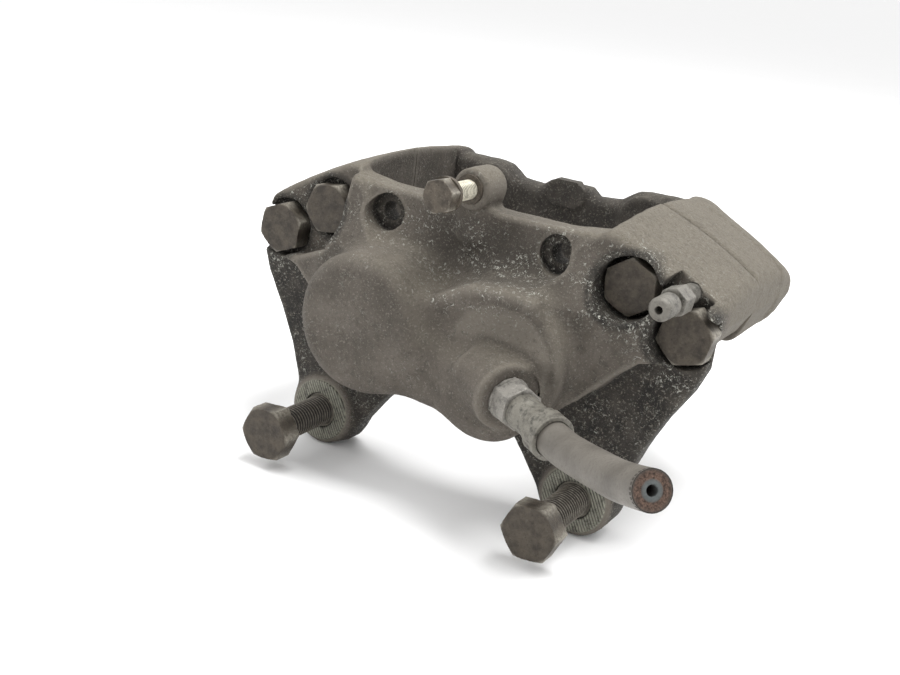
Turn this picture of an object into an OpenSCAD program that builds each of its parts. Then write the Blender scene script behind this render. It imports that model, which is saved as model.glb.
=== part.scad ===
// Fixed four-piston disc brake caliper: two bolted cast halves with their pistons, seals and fittings.
// Millimetres. The origin is midway between the two mounting holes, on the lug faces.
// +X runs along the caliper, +Y along the wheel axis from the vehicle outwards, +Z away from the axle.

/* [Overall] */
// Distance between the two mounting bolt holes
lug_spacing = 112; // [105:1:140]
// Half of the length over the end blocks
half_length = 95; // [93:0.5:118]
// Diameter of the largest brake disc that fits
disc_d = 278; // [262:1:336]
// Height of the disc axis above the line of the mounting bolts
disc_axis_z = -57; // [-70:1:-50]
// Distance from the lug faces to the joint between the two halves
joint_y = 47; // [44:0.5:60]
// Gap between the cylinder mouths of the two halves
mouth_gap = 66; // [62:0.5:80]
// Width of the slot that the disc turns in
slot_w = 32; // [24:0.5:40]
// Radial gap between the disc and the castings
disc_gap = 2; // [1.5:0.1:4]

/* [Castings] */
// Length of the window that the pads drop into
window_w = 104; // [96:1:112]
// Thickness of the bridge over the disc
bridge_t = 26; // [24:0.5:34]
// Thickness of the upright walls beside the window
wall_t = 11; // [10:0.5:16]
// Thickness of the mounting ears
ear_t = 10; // [8:0.5:14]
// Height of the window walls above the edge of the disc slot
rim_rise = 10; // [9:0.5:16]
// Fillet on the outline of the end blocks
block_fillet = 9; // [4:0.5:12]
// How far the outboard casting reaches past its cylinder mouths at the end blocks
outer_block_t = 18; // [15:0.5:26]

/* [Cylinders] */
// Piston diameter
piston_d = 38; // [34:0.5:46]
// Metal between the two bores of one half
bore_web = 16; // [14:0.5:22]
// Wall around a bore
cylinder_wall = 7; // [5:0.5:9]
// Depth of a bore from its mouth
bore_depth = 28.5; // [28:0.5:38]
// Thickness of the closed end of a cylinder
crown_t = 10.5; // [8:0.5:14]
// Distance from the disc edge in to the piston axes
piston_inset = 33.5; // [30:0.5:42]
// Length of a piston
piston_len = 28.5; // [27:0.5:34]
// How far a piston stands out of its mouth at rest
piston_proud = 1.5; // [1:0.1:3]
// Travel of a piston out of its bore as the pads wear
piston_travel = 12; // [8:0.5:14]
// Depth of the seal groove in the bore wall
seal_depth = 2.6; // [2:0.1:3.5]
// Width of the piston seal
seal_w = 4; // [3:0.1:5]
// Distance from the mouth to the near side of the seal groove
seal_offset = 10; // [8:0.5:12]
// Radial room for the dust boot around a piston
boot_room = 4.6; // [4:0.1:6]
// Depth of the counterbore that holds the dust boot
boot_depth = 4.8; // [4.2:0.1:6]

/* [Mounting] */
// Diameter of the mounting bolts
mount_bolt_d = 12; // [10:0.5:14]
// Width across flats of a mounting bolt head
mount_head_af = 19; // [17:0.5:22]
// Height of a mounting bolt head
mount_head_h = 8; // [6:0.5:10]
// Bare thread between the bolt head and the lug face
mount_reach = 26.5; // [16:0.5:32]
// Depth of bolt thread engaged in the lug
mount_engaged = 12; // [9:0.5:15]
// Radius of the lug bosses
lug_r = 14; // [12:0.5:17]
// Length of the lug bosses
lug_len = 17; // [14:0.5:22]
// Radius of the machined ring on a lug face
lug_ring_r = 12.3; // [10:0.1:14]

/* [Bridge bolts] */
// Diameter of the bolts that join the halves
bridge_bolt_d = 12; // [10:0.5:13]
// Width across flats of their heads
bridge_head_af = 18; // [16:0.5:19]
// Height of their heads
bridge_head_h = 8; // [6:0.5:9]
// Distance from the lug faces to the spot faces under the heads
bridge_seat_y = 10.6; // [9:0.1:13]
// Length of thread engaged in the outboard half
bridge_engaged = 36; // [20:0.5:40]
// Distance of a bolt axis from the end of the block or the window
bolt_edge = 10.7; // [10:0.1:14]
// Metal between the disc slot and a bolt hole
bolt_cover = 3.4; // [2:0.1:6]

/* [Pad pins] */
// Diameter of the pad pin holes
pin_hole_d = 7.2; // [6:0.1:9]
// Distance between the two pad pins
pin_spacing = 70; // [56:1:78]
// Diameter of the counterbore over a pad pin
pin_mouth_d = 14; // [11:0.5:16]
// Depth of the counterbore over a pad pin
pin_mouth_depth = 2.5; // [1:0.5:4]
// Distance from the disc slot out to the pad pins
pin_rise = 5.2; // [4.5:0.1:8]

/* [Retainer bolt] */
// Diameter of the bolt in the centre lug
retainer_d = 7; // [6:0.5:8]
// Width across flats of its head
retainer_af = 11; // [10:0.5:14]
// Height of its head
retainer_head_h = 5; // [4:0.5:7]
// Shank that shows between its washer and the lug
retainer_reach = 14.5; // [8:0.5:18]
// Length of the thread inside the bush
retainer_engaged = 11; // [8:0.5:14]
// Outer diameter of its washer
washer_d = 12.5; // [11:0.5:16]
// Thickness of its washer
washer_t = 1.5; // [1:0.1:2.5]
// Outer diameter of the threaded bush
bush_d = 10.5; // [9.5:0.1:11]
// Outer radius of the centre lug
centre_lug_r = 7.5; // [7:0.5:11]
// Distance from the disc slot out to the centre lug's hole
centre_lug_rise = 17; // [16:0.5:22]

/* [Bleed screw] */
// Thread diameter
bleed_d = 7; // [6:0.5:8]
// Width across flats
bleed_af = 9; // [8:0.5:10]
// Height of the hexagon
bleed_hex_h = 8.5; // [5:0.5:9]
// Diameter of the nipple
nipple_d = 8; // [6:0.5:8.5]
// Length of the plain part of the nipple
nipple_len = 8; // [4:0.5:9]
// Diameter of the passage through the screw
bleed_bore_d = 2.6; // [1.5:0.1:3]
// Depth of thread in the casting
bleed_engaged = 14; // [10:0.5:18]
// Distance from the spot face out to the hexagon
bleed_standoff = 9.5; // [6:0.5:11]
// Radius of the spot face around the screw
bleed_spot_r = 8; // [6:0.5:9]

/* [Brake hose] */
// Width across flats of the hose fitting
fitting_af = 14; // [12:0.5:16]
// Length of the fitting's hexagon
fitting_hex_len = 9; // [7:0.5:12]
// Thread diameter of the fitting
fitting_thread_d = 10; // [9:0.5:11]
// Depth of thread in the casting
fitting_engaged = 8; // [6:0.5:9]
// Outer diameter of the crimped sleeve
sleeve_d = 15.6; // [14.5:0.1:18]
// Length of the crimped sleeve
sleeve_len = 20; // [16:0.5:24]
// Outer diameter of the hose
hose_d = 12; // [10:0.1:13]
// Depth that the hose is held in the sleeve
hose_grip = 15; // [10:0.5:18]
// Radius of the boss around the hose port
port_boss_r = 12; // [10:0.5:14]
// Radius of the flat that the fitting is screwed down on
port_face_r = 10.5; // [9:0.5:11]

/* [Fits] */
// Radial gap between a piston and its bore
piston_gap = 0.05; // [0.02:0.01:0.1]
// Radial gap in a threaded or turning joint
thread_gap = 0.05; // [0.02:0.01:0.1]
// Radial gap around a bridge bolt in the inboard half
bolt_gap = 0.25; // [0.1:0.05:0.5]
// Gap between pieces that only lie against each other
contact_gap = 0.02; // [0.01:0.01:0.05]
// Diameter of the fluid passage across the joint
passage_d = 3; // [2:0.5:4]
// Diameter of the drillings that lead to it
feed_d = 2.2; // [1.6:0.2:3.4]

/* [Hidden] */
$fn = 64;

lug_x = lug_spacing / 2;
mouth_in = joint_y - mouth_gap / 2;
mouth_out = joint_y + mouth_gap / 2;
slot_r = disc_d / 2 + disc_gap;
bridge_r = slot_r + bridge_t;
piston_r = piston_d / 2;
piston_x = (piston_d + bore_web) / 2;
piston_z = disc_axis_z + disc_d / 2 - piston_inset;
bulge_r = piston_r + cylinder_wall;
boot_r = piston_r + boot_room;
rim_z = disc_axis_z + slot_r + rim_rise;
wall_front = mouth_in - wall_t;
wall_back = mouth_out + wall_t;
block_back = mouth_out + outer_block_t;
window_x = window_w / 2;
bolt_circle_r = slot_r + bolt_cover + bridge_bolt_d / 2 + bolt_gap;
bolt_xs = [window_x + bolt_edge, half_length - bolt_edge];
pin_x = pin_spacing / 2;
centre_z = disc_axis_z + slot_r + centre_lug_rise;
centre_lug_y = wall_front - 5;
block_foot_z = piston_z - 4;
block_mid_x = half_length - 2.5;
inner_saddle_t = 20;
outer_saddle_t = 22;
shoulder_t = 26;
// Cuts that run out through the front or the back end this far beyond the castings
front_clear = -60;
back_clear = 30;

// Heights on a circle around the disc axis
function arc_z(r, x) = disc_axis_z + sqrt(r * r - x * x);
bolt_zs = [for (x = bolt_xs) arc_z(bolt_circle_r, x)];
pin_z = arc_z(slot_r + pin_rise, pin_x);

// The passage that joins the halves runs outside the pair of right-hand bridge bolts
cross_x = (bolt_xs[0] + bolt_xs[1]) / 2 + 2;
cross_z = arc_z(bolt_circle_r + 4, cross_x);
cross_start = 17;
seal_ring_r = passage_d / 2 + 2.1;
seal_cord_r = 0.9;

// The bleed screw stands above the outer right-hand bridge bolt, clear of its head
bleed_shift = 2.7;
bleed_pitch = bridge_head_af / 2 + 5;
bleed_x = bolt_xs[1] - bleed_shift;
bleed_z = bolt_zs[1] + sqrt(bleed_pitch * bleed_pitch - bleed_shift * bleed_shift);
bleed_seat_y = bridge_seat_y - 0.6;

// The hose port points outwards and down from the lower side of the right-hand inboard cylinder
port = [piston_x + 10.5, mouth_in - bore_depth - 10.5, piston_z - 8.2];
port_dir = [0.85, -0.521, -0.077];
port_boss_len = 15;
port_cut = 40;
port_drilling = (mouth_in - bore_depth + 1 - port[1]) * norm(port_dir) / -port_dir[1];

// Route of the hose, from inside its sleeve to its cut end
sleeve_end = port + (fitting_hex_len + sleeve_len) * port_dir / norm(port_dir);
hose_rise = [[0, 0, 0], [3.5, -2.3, -0.2], [7.5, -5.2, 0], [12.5, -9.2, 0.9], [18, -13.8, 2.2],
    [23.5, -18.8, 3.8], [29, -24.2, 5.6], [34, -29.4, 7.6], [39, -34.6, 9.9], [44, -39.7, 12.4],
    [48.8, -44.5, 14.9]];
hose_route = concat(
    [for (s = [hose_grip : -hose_grip / 3 : 1]) sleeve_end - s * port_dir / norm(port_dir)],
    [for (p = hose_rise) sleeve_end + p]);

hose_sides = 12;

// Rounded corners: an arc of radius r at b, between its neighbours a and c
function unit(v) = v / norm(v);
function turn(from, to) = let (t = to - from) t > 180 ? t - 360 : t < -180 ? t + 360 : t;
function fillet(a, b, c, r, steps) =
    let (
        u = unit(a - b),
        v = unit(c - b),
        half = acos(u * v) / 2,
        centre = b + unit(u + v) * r / sin(half),
        p = b + u * r / tan(half) - centre,
        q = b + v * r / tan(half) - centre,
        start = atan2(p[1], p[0]),
        sweep = turn(start, atan2(q[1], q[0]))
    )
    r == 0 || norm(u + v) < 0.001 ? [b]
        : [for (i = [0 : steps]) let (a = start + sweep * i / steps) centre + r * [cos(a), sin(a)]];
// corners: [x, z, radius] in order around the outline
function rounded(corners, steps = 5) =
    let (n = len(corners))
    [for (i = [0 : n - 1])
        let (a = corners[(i + n - 1) % n], b = corners[i], c = corners[(i + 1) % n])
        each fillet([a[0], a[1]], [b[0], b[1]], [c[0], c[1]], b[2], steps)];

// An outline in the XZ plane, made into a slab between two distances from the lug faces
module slab(y0, y1) translate([0, y1, 0]) rotate([90, 0, 0]) linear_extrude(y1 - y0) children();
// A round bar along Y
module rod(x, z, y0, y1, r) translate([x, y0, z]) rotate([-90, 0, 0]) cylinder(h = y1 - y0, r = r);
// A turned profile of [radius, distance along +Y]
module turned(x, z, y, profile) translate([x, y, z]) rotate([-90, 0, 0]) rotate_extrude() polygon(profile);
// Children stand with their +Z along the line from one point towards another
module aim(from, dir)
    translate(from) rotate([0, acos(dir[2] / norm(dir)), atan2(dir[1], dir[0])]) children();
module passage(from, to) aim(from, to - from) cylinder(h = norm(to - from), d = feed_d, $fn = 24);
module hex(af, h) rotate([0, 0, 30]) cylinder(h = h, d = af / cos(30), $fn = 6);
// A hexagonal bolt head with its chamfered face
module bolt_head(af, h)
    intersection() {
        hex(af, h);
        rotate_extrude() polygon([[0, 0], [af, 0], [af, h - af * 0.16], [af * 0.46, h], [0, h]]);
    }
module both_hands() for (hand = [-1, 1]) scale([hand, 1, 1]) children();

// Cylinder frames: +Z points out of the mouth, towards the disc
module at_cylinder(side, hand)
    translate([hand * piston_x, side < 0 ? mouth_in : mouth_out, piston_z])
        rotate([side * 90, 0, 0]) children();
module at_cylinders(side) for (hand = [-1, 1]) at_cylinder(side, hand) children();

// Space of one cylinder: bore, seal groove and boot counterbore
module cylinder_space() {
    translate([0, 0, -bore_depth])
        cylinder(h = bore_depth + piston_proud + piston_travel, r = piston_r + piston_gap);
    translate([0, 0, -seal_offset - seal_w]) cylinder(h = seal_w, r = piston_r + seal_depth);
    translate([0, 0, -boot_depth]) cylinder(h = boot_depth + 1, r = boot_r + contact_gap);
}
module cylinder_bulge() {
    len = bore_depth + crown_t;
    round = 8;
    rotate_extrude() polygon(concat([[0, 0], [bulge_r, 0]],
        [for (a = [0 : 15 : 90]) [bulge_r - round + round * cos(a), round - len - round * sin(a)]],
        [[0, -len]]));
}
module piston() {
    back = piston_proud - piston_len;
    groove = 1.5;
    cup_r = piston_r - 4.5;
    rotate_extrude() polygon([[0, back], [piston_r - 1, back], [piston_r, back + 1],
        [piston_r, -3.1], [piston_r - groove, -3.1], [piston_r - groove, -1.5], [piston_r, -1.5],
        [piston_r, piston_proud - 0.6], [piston_r - 0.6, piston_proud],
        [cup_r, piston_proud], [cup_r, back + 7], [cup_r - 1.5, back + 5.5], [0, back + 5.5]]);
}
module seal() translate([0, 0, -seal_offset - seal_w + contact_gap]) difference() {
    cylinder(h = seal_w - 2 * contact_gap, r = piston_r + seal_depth - contact_gap);
    translate([0, 0, -1]) cylinder(h = seal_w + 2, r = piston_r + contact_gap);
}
module boot() {
    p = piston_r;
    rotate_extrude() polygon([[p - 1.3, -2.9], [p - 1.3, -1.7], [p + 0.4, -1.7], [p + 0.4, -0.3],
        [p + 2.7, -0.3], [p + 2.7, -3.6], [boot_r, -3.6], [boot_r, contact_gap - boot_depth],
        [p + 1.9, contact_gap - boot_depth], [p + 1.9, -1.1], [p + 1.2, -1.1], [p + 1.2, -2.9]]);
}
module boot_ring() {
    p = piston_r;
    rotate_extrude() polygon([[p + 2.9, -3.55], [boot_r, -3.55], [boot_r, -0.4], [boot_r - 0.6, -0.4],
        [boot_r - 0.6, -2.9], [p + 2.9, -2.9]]);
}

// Outline of the blocks at both ends of the window, cut to the arched top by the bridge profile
module block_outline(reach)
    polygon(rounded([[window_x, block_foot_z, 3], [reach - 15, block_foot_z, 6], [reach, piston_z + 16, 5],
        [reach, arc_z(bridge_r, reach) - 6, block_fillet], [reach - 11, arc_z(bridge_r, reach - 11) + 1, 6],
        [reach - 25, arc_z(bridge_r, reach - 25) + 6, 0], [window_x, arc_z(bridge_r, window_x) + 6, 0]]));
// Arched top of the bridge, turned about the disc axis
module bridge_profile()
    translate([0, 0, disc_axis_z]) rotate([-90, 0, 0]) rotate_extrude($fn = 180) polygon([
        [slot_r - 30, wall_front - 1], [bridge_r - 5, wall_front - 1], [bridge_r - 2.5, wall_front + 6],
        [bridge_r - 1, wall_front + 16], [bridge_r, joint_y], [bridge_r - 1, mouth_out - 8],
        [bridge_r - 3, mouth_out + 5], [bridge_r - 8, block_back], [slot_r - 30, block_back]]);
module blocks(y0, y1, reach) both_hands() slab(y0, y1) block_outline(reach);

// Upright wall with its wavy rim, low beside the centre and high at the pad pins
module wall_outline(dip)
    polygon(rounded([[-window_x - 2, piston_z, 0], [-window_x - 2, rim_z, 4], [-pin_x - 6, rim_z, 6],
        [-pin_x + 8, rim_z - dip, 5], [-centre_lug_r - 5, rim_z - dip, 5], [-centre_lug_r, rim_z, 3],
        [centre_lug_r, rim_z, 3], [centre_lug_r + 5, rim_z - dip, 5], [pin_x - 8, rim_z - dip, 5],
        [pin_x + 6, rim_z, 6], [window_x + 2, rim_z, 4], [window_x + 2, piston_z, 0]]));

// Mounting ears: from the lugs up to the end blocks
module ear_outline()
    polygon(rounded([[0, piston_z + 20, 0], [0, piston_z - bulge_r + 3, 0],
        [piston_x - 8, piston_z - bulge_r + 1, 14], [lug_x - 18, -2, 10], [lug_x - 12, -8, 0],
        [lug_x, -4, 0], [lug_x + 13, 4, 0], [lug_x + 18, piston_z - 24, 40],
        [half_length - 1, piston_z + 16, 6], [half_length - 1, piston_z + 30, 8],
        [window_x, piston_z + 36, 0]]));

// Web from a cylinder out to the bridge bolts
module shoulder(side)
    hull() {
        translate([piston_x, side < 0 ? mouth_in - shoulder_t : mouth_out, piston_z])
            rotate([-90, 0, 0]) cylinder(h = shoulder_t, r = bulge_r - 7, $fn = 32);
        translate([bolt_xs[0] + 6, side < 0 ? wall_front : mouth_out, bolt_zs[0] - 6])
            rotate([-90, 0, 0]) cylinder(h = wall_t, r = 13, $fn = 32);
    }
// Saddle between the two cylinders of one half
module saddle(y0, y1) slab(y0, y1)
    polygon(rounded([[-piston_x, piston_z - bulge_r + 5, 4], [piston_x, piston_z - bulge_r + 5, 4],
        [piston_x, piston_z + bulge_r, 4], [-piston_x, piston_z + bulge_r, 4]]));

// Drilling from the right-hand cylinder of one half to the passage across the joint
module cross_drilling(side) {
    from = [piston_x, side < 0 ? mouth_in - bore_depth - 2 : mouth_out + bore_depth + 2, piston_z];
    to = [cross_x, joint_y + side * cross_start, cross_z];
    passage(from + 0.3 * (to - from), to);
    rod(cross_x, cross_z, side < 0 ? joint_y - cross_start - passage_d : joint_y,
        side < 0 ? joint_y : joint_y + cross_start + passage_d, passage_d / 2);
    link_y = side < 0 ? mouth_in - bore_depth + 8 : mouth_out + bore_depth - 8;
    passage([-bore_web / 2 - 1.5, link_y, piston_z], [bore_web / 2 + 1.5, link_y, piston_z]);
}

module inner_housing() color("#6b655b") {
    difference() {
        union() {
            at_cylinders(-1) cylinder_bulge();
            both_hands() shoulder(-1);
            saddle(mouth_in - inner_saddle_t, mouth_in);
            slab(wall_front, mouth_in) wall_outline(0);
            intersection() {
                union() {
                    blocks(wall_front - 1, wall_front + 16, half_length);
                    blocks(wall_front + 15, joint_y, block_mid_x);
                }
                bridge_profile();
            }
            both_hands() slab(mouth_in - ear_t, mouth_in) ear_outline();
            both_hands() turned(lug_x, 0, 0, [[0, 0], [lug_ring_r, 0], [lug_ring_r, 0.8], [lug_r, 2.6],
                [lug_r, lug_len - 1.5], [lug_r - 1.5, lug_len], [0, lug_len]]);
            rod(0, centre_z, centre_lug_y, mouth_in, centre_lug_r);
            slab(wall_front, mouth_in)
                polygon([[-centre_lug_r, rim_z - 8], [centre_lug_r, rim_z - 8], [centre_lug_r, centre_z],
                    [-centre_lug_r, centre_z]]);
            aim(port, -port_dir) cylinder(h = port_boss_len, r = port_boss_r);
        }
        at_cylinders(-1) cylinder_space();
        // Room for the disc
        rod(0, disc_axis_z, joint_y - slot_w / 2, joint_y + 1, slot_r, $fn = 180);
        // Bridge bolts, their spot faces and the pad pins
        both_hands() for (i = [0, 1]) {
            rod(bolt_xs[i], bolt_zs[i], wall_front - 5, joint_y + 1, bridge_bolt_d / 2 + bolt_gap);
            rod(bolt_xs[i], bolt_zs[i], front_clear, bridge_seat_y, bridge_head_af / 2 + 3);
        }
        both_hands() {
            rod(pin_x, pin_z, front_clear, mouth_in + 1, pin_hole_d / 2);
            rod(pin_x, pin_z, front_clear, wall_front + pin_mouth_depth, pin_mouth_d / 2);
            rod(lug_x, 0, -1, lug_len + 1, mount_bolt_d / 2 + thread_gap);
            turned(lug_x, 0, -1, [[0, 0], [mount_bolt_d / 2 + 0.9, 0], [mount_bolt_d / 2 + 0.9, 2.5],
                [mount_bolt_d / 2, 3.4], [0, 3.4]]);
        }
        rod(0, centre_z, centre_lug_y - 1, mouth_in + 1, bush_d / 2 + contact_gap);
        // Bleed screw hole with its spot face and the drilling to the cross passage
        rod(bleed_x, bleed_z, front_clear, bleed_seat_y, bleed_spot_r);
        rod(bleed_x, bleed_z, bleed_seat_y - 1, bleed_seat_y + bleed_engaged + 1,
            bleed_d / 2 + thread_gap);
        passage([bleed_x, bleed_seat_y + bleed_engaged, bleed_z],
            [cross_x, joint_y - cross_start + 5, cross_z]);
        // Hose port
        aim(port, port_dir) cylinder(h = port_cut, r = port_face_r);
        aim(port + port_dir, -port_dir)
            cylinder(h = fitting_engaged + 2, d = fitting_thread_d + 2 * contact_gap);
        passage(port, port - port_drilling * port_dir / norm(port_dir));
        cross_drilling(-1);
    }
}

module outer_housing() color("#6f685d") {
    boss_w = 15;
    difference() {
        union() {
            at_cylinders(1) cylinder_bulge();
            both_hands() shoulder(1);
            saddle(mouth_out, mouth_out + outer_saddle_t);
            slab(mouth_out, wall_back) wall_outline(5);
            both_hands() rod(pin_x, pin_z, mouth_out - 1.2, wall_back, pin_mouth_d / 2 + 3.5);
            intersection() {
                union() {
                    blocks(joint_y, mouth_out - 10, block_mid_x);
                    blocks(mouth_out - 11, block_back, half_length - 1.5);
                }
                bridge_profile();
            }
            // Centre rib on the window side
            translate([-boss_w / 2, mouth_out - 1, rim_z - 11]) cube([boss_w, 3, 10]);
        }
        at_cylinders(1) cylinder_space();
        rod(0, disc_axis_z, joint_y - 1, joint_y + slot_w / 2, slot_r, $fn = 180);
        both_hands() {
            for (i = [0, 1])
                rod(bolt_xs[i], bolt_zs[i], joint_y - 1, joint_y + bridge_engaged + 3,
                    bridge_bolt_d / 2 + contact_gap);
            rod(pin_x, pin_z, mouth_out - 5, wall_back + back_clear, pin_hole_d / 2);
        }
        rod(cross_x, cross_z, joint_y - 1, joint_y + 2 * seal_cord_r,
            seal_ring_r + seal_cord_r + contact_gap);
        cross_drilling(1);
    }
}

module bridge_bolts() color("#4a4540")
    both_hands() for (i = [0, 1]) {
        translate([bolt_xs[i], bridge_seat_y, bolt_zs[i]])
            rotate([90, 0, 0]) bolt_head(bridge_head_af, bridge_head_h);
        rod(bolt_xs[i], bolt_zs[i], bridge_seat_y, joint_y + bridge_engaged, bridge_bolt_d / 2);
    }

module crossover_seal() color("#1c1c1c")
    translate([cross_x, joint_y + seal_cord_r, cross_z]) rotate([-90, 0, 0])
        rotate_extrude() translate([seal_ring_r, 0]) circle(r = seal_cord_r, $fn = 24);

module piston_inner_left() color("#b9b9b4") at_cylinder(-1, -1) piston();
module piston_inner_right() color("#b9b9b4") at_cylinder(-1, 1) piston();
module piston_outer_left() color("#b9b9b4") at_cylinder(1, -1) piston();
module piston_outer_right() color("#b9b9b4") at_cylinder(1, 1) piston();
module seal_inner_left() color("#1a1a1a") at_cylinder(-1, -1) seal();
module seal_inner_right() color("#1a1a1a") at_cylinder(-1, 1) seal();
module seal_outer_left() color("#1a1a1a") at_cylinder(1, -1) seal();
module seal_outer_right() color("#1a1a1a") at_cylinder(1, 1) seal();
module boot_inner_left() color("#26241f") at_cylinder(-1, -1) boot();
module boot_inner_right() color("#26241f") at_cylinder(-1, 1) boot();
module boot_outer_left() color("#26241f") at_cylinder(1, -1) boot();
module boot_outer_right() color("#26241f") at_cylinder(1, 1) boot();
module boot_ring_inner_left() color("#8d8a80") at_cylinder(-1, -1) boot_ring();
module boot_ring_inner_right() color("#8d8a80") at_cylinder(-1, 1) boot_ring();
module boot_ring_outer_left() color("#8d8a80") at_cylinder(1, -1) boot_ring();
module boot_ring_outer_right() color("#8d8a80") at_cylinder(1, 1) boot_ring();

// Mounting bolt, part way out of its lug. The thread inside the lug is modelled at its core size.
module mount_bolt(hand) color("#4d463e") {
    translate([hand * lug_x, -mount_reach, 0]) rotate([90, 0, 0]) bolt_head(mount_head_af, mount_head_h);
    rod(hand * lug_x, 0, -mount_reach, 0, mount_bolt_d / 2);
    rod(hand * lug_x, 0, 0, mount_engaged, mount_bolt_d / 2 - 0.2);
}
module mount_bolt_left() mount_bolt(-1);
module mount_bolt_right() mount_bolt(1);

module retainer_bush() color("#d8d2bd") difference() {
    rod(0, centre_z, centre_lug_y, mouth_in, bush_d / 2);
    rod(0, centre_z, centre_lug_y - 1, mouth_in + 1, retainer_d / 2 + thread_gap);
}
module retainer_washer() color("#5a554d") difference() {
    washer_y = centre_lug_y - retainer_reach;
    rod(0, centre_z, washer_y - washer_t, washer_y, washer_d / 2);
    rod(0, centre_z, washer_y - washer_t - 1, washer_y + 1, retainer_d / 2 + thread_gap);
}
module retainer_bolt() color("#56524b") {
    under_head = centre_lug_y - retainer_reach - washer_t - contact_gap;
    translate([0, under_head, centre_z]) rotate([90, 0, 0]) bolt_head(retainer_af, retainer_head_h);
    rod(0, centre_z, under_head, centre_lug_y + retainer_engaged, retainer_d / 2);
}

module bleed_screw() color("#a3a19a") {
    hex_y = bleed_seat_y - bleed_standoff - bleed_hex_h;
    tip_y = hex_y - nipple_len - 3.5;
    end_y = bleed_seat_y + bleed_engaged;
    difference() {
        union() {
            translate([bleed_x, hex_y + bleed_hex_h, bleed_z])
                rotate([90, 0, 0]) bolt_head(bleed_af, bleed_hex_h);
            rod(bleed_x, bleed_z, hex_y + bleed_hex_h - 0.01, end_y - 2, bleed_d / 2);
            rod(bleed_x, bleed_z, hex_y - 2, hex_y + 0.01, nipple_d / 2 - 1);
            rod(bleed_x, bleed_z, hex_y - 2 - nipple_len, hex_y - 2, nipple_d / 2);
            turned(bleed_x, bleed_z, tip_y,
                [[0, 0], [nipple_d / 2 - 1, 0], [nipple_d / 2, 1.51], [0, 1.51]]);
            turned(bleed_x, bleed_z, end_y - 2.01, [[0, 0], [bleed_d / 2, 0], [0.8, 2], [0, 2]]);
        }
        rod(bleed_x, bleed_z, tip_y - 1, end_y - 5, bleed_bore_d / 2);
        translate([bleed_x - bleed_d, end_y - 6, bleed_z])
            rotate([0, 90, 0]) cylinder(h = 2 * bleed_d, d = 2, $fn = 24);
    }
}

module hose_fitting() color("#a8a69d") difference() {
    union() {
        aim(port - fitting_engaged * port_dir, port_dir)
            cylinder(h = fitting_engaged + 1, d = fitting_thread_d);
        aim(port + contact_gap * port_dir, port_dir) hex(fitting_af, fitting_hex_len - contact_gap);
    }
    aim(port - (fitting_engaged + 1) * port_dir, port_dir)
        cylinder(h = fitting_engaged + fitting_hex_len + 2, d = passage_d, $fn = 24);
}
module hose_sleeve() color("#9b9a92")
    aim(port + fitting_hex_len * port_dir / norm(port_dir), port_dir) difference() {
        rotate_extrude() polygon([[0, 0], [sleeve_d / 2 - 1.6, 0], [sleeve_d / 2 - 1.6, sleeve_len - 8],
            [sleeve_d / 2, sleeve_len - 6], [sleeve_d / 2, sleeve_len], [0, sleeve_len]]);
        translate([0, 0, sleeve_len - hose_grip]) cylinder(h = hose_grip + 1, d = hose_d + 2 * contact_gap);
        translate([0, 0, -1]) cylinder(h = sleeve_len, d = passage_d, $fn = 24);
    }

// Plain tube swept along the hose's route
function heading(i) = unit(hose_route[min(i + 1, len(hose_route) - 1)] - hose_route[max(i - 1, 0)]);
function hose_ring(i) =
    let (a = unit(cross(heading(i), [0, 0, 1])), b = cross(heading(i), a))
    [for (k = [0 : hose_sides - 1])
        hose_route[i] + hose_d / 2 * (cos(k * 360 / hose_sides) * a + sin(k * 360 / hose_sides) * b)];
function hose_band(i) = [for (k = [0 : hose_sides - 1])
    let (next = (k + 1) % hose_sides, here = i * hose_sides, ahead = here + hose_sides)
    [here + next, here + k, ahead + k, ahead + next]];
module brake_hose() color("#5d5b57") {
    last = (len(hose_route) - 1) * hose_sides;
    polyhedron(
        [for (i = [0 : len(hose_route) - 1]) each hose_ring(i)],
        [[for (k = [0 : hose_sides - 1]) k], each [for (i = [0 : len(hose_route) - 2]) each hose_band(i)],
            [for (k = [hose_sides - 1 : -1 : 0]) last + k]]);
}

inner_housing();
outer_housing();
bridge_bolts();
crossover_seal();
piston_inner_left();
piston_inner_right();
piston_outer_left();
piston_outer_right();
seal_inner_left();
seal_inner_right();
seal_outer_left();
seal_outer_right();
boot_inner_left();
boot_inner_right();
boot_outer_left();
boot_outer_right();
boot_ring_inner_left();
boot_ring_inner_right();
boot_ring_outer_left();
boot_ring_outer_right();
mount_bolt_left();
mount_bolt_right();
retainer_bolt();
retainer_washer();
retainer_bush();
bleed_screw();
hose_fitting();
hose_sleeve();
brake_hose();
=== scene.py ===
"""Brake caliper: two cast halves bolted together, four pistons, two mounting bolts and a cut brake hose."""
import math

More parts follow.
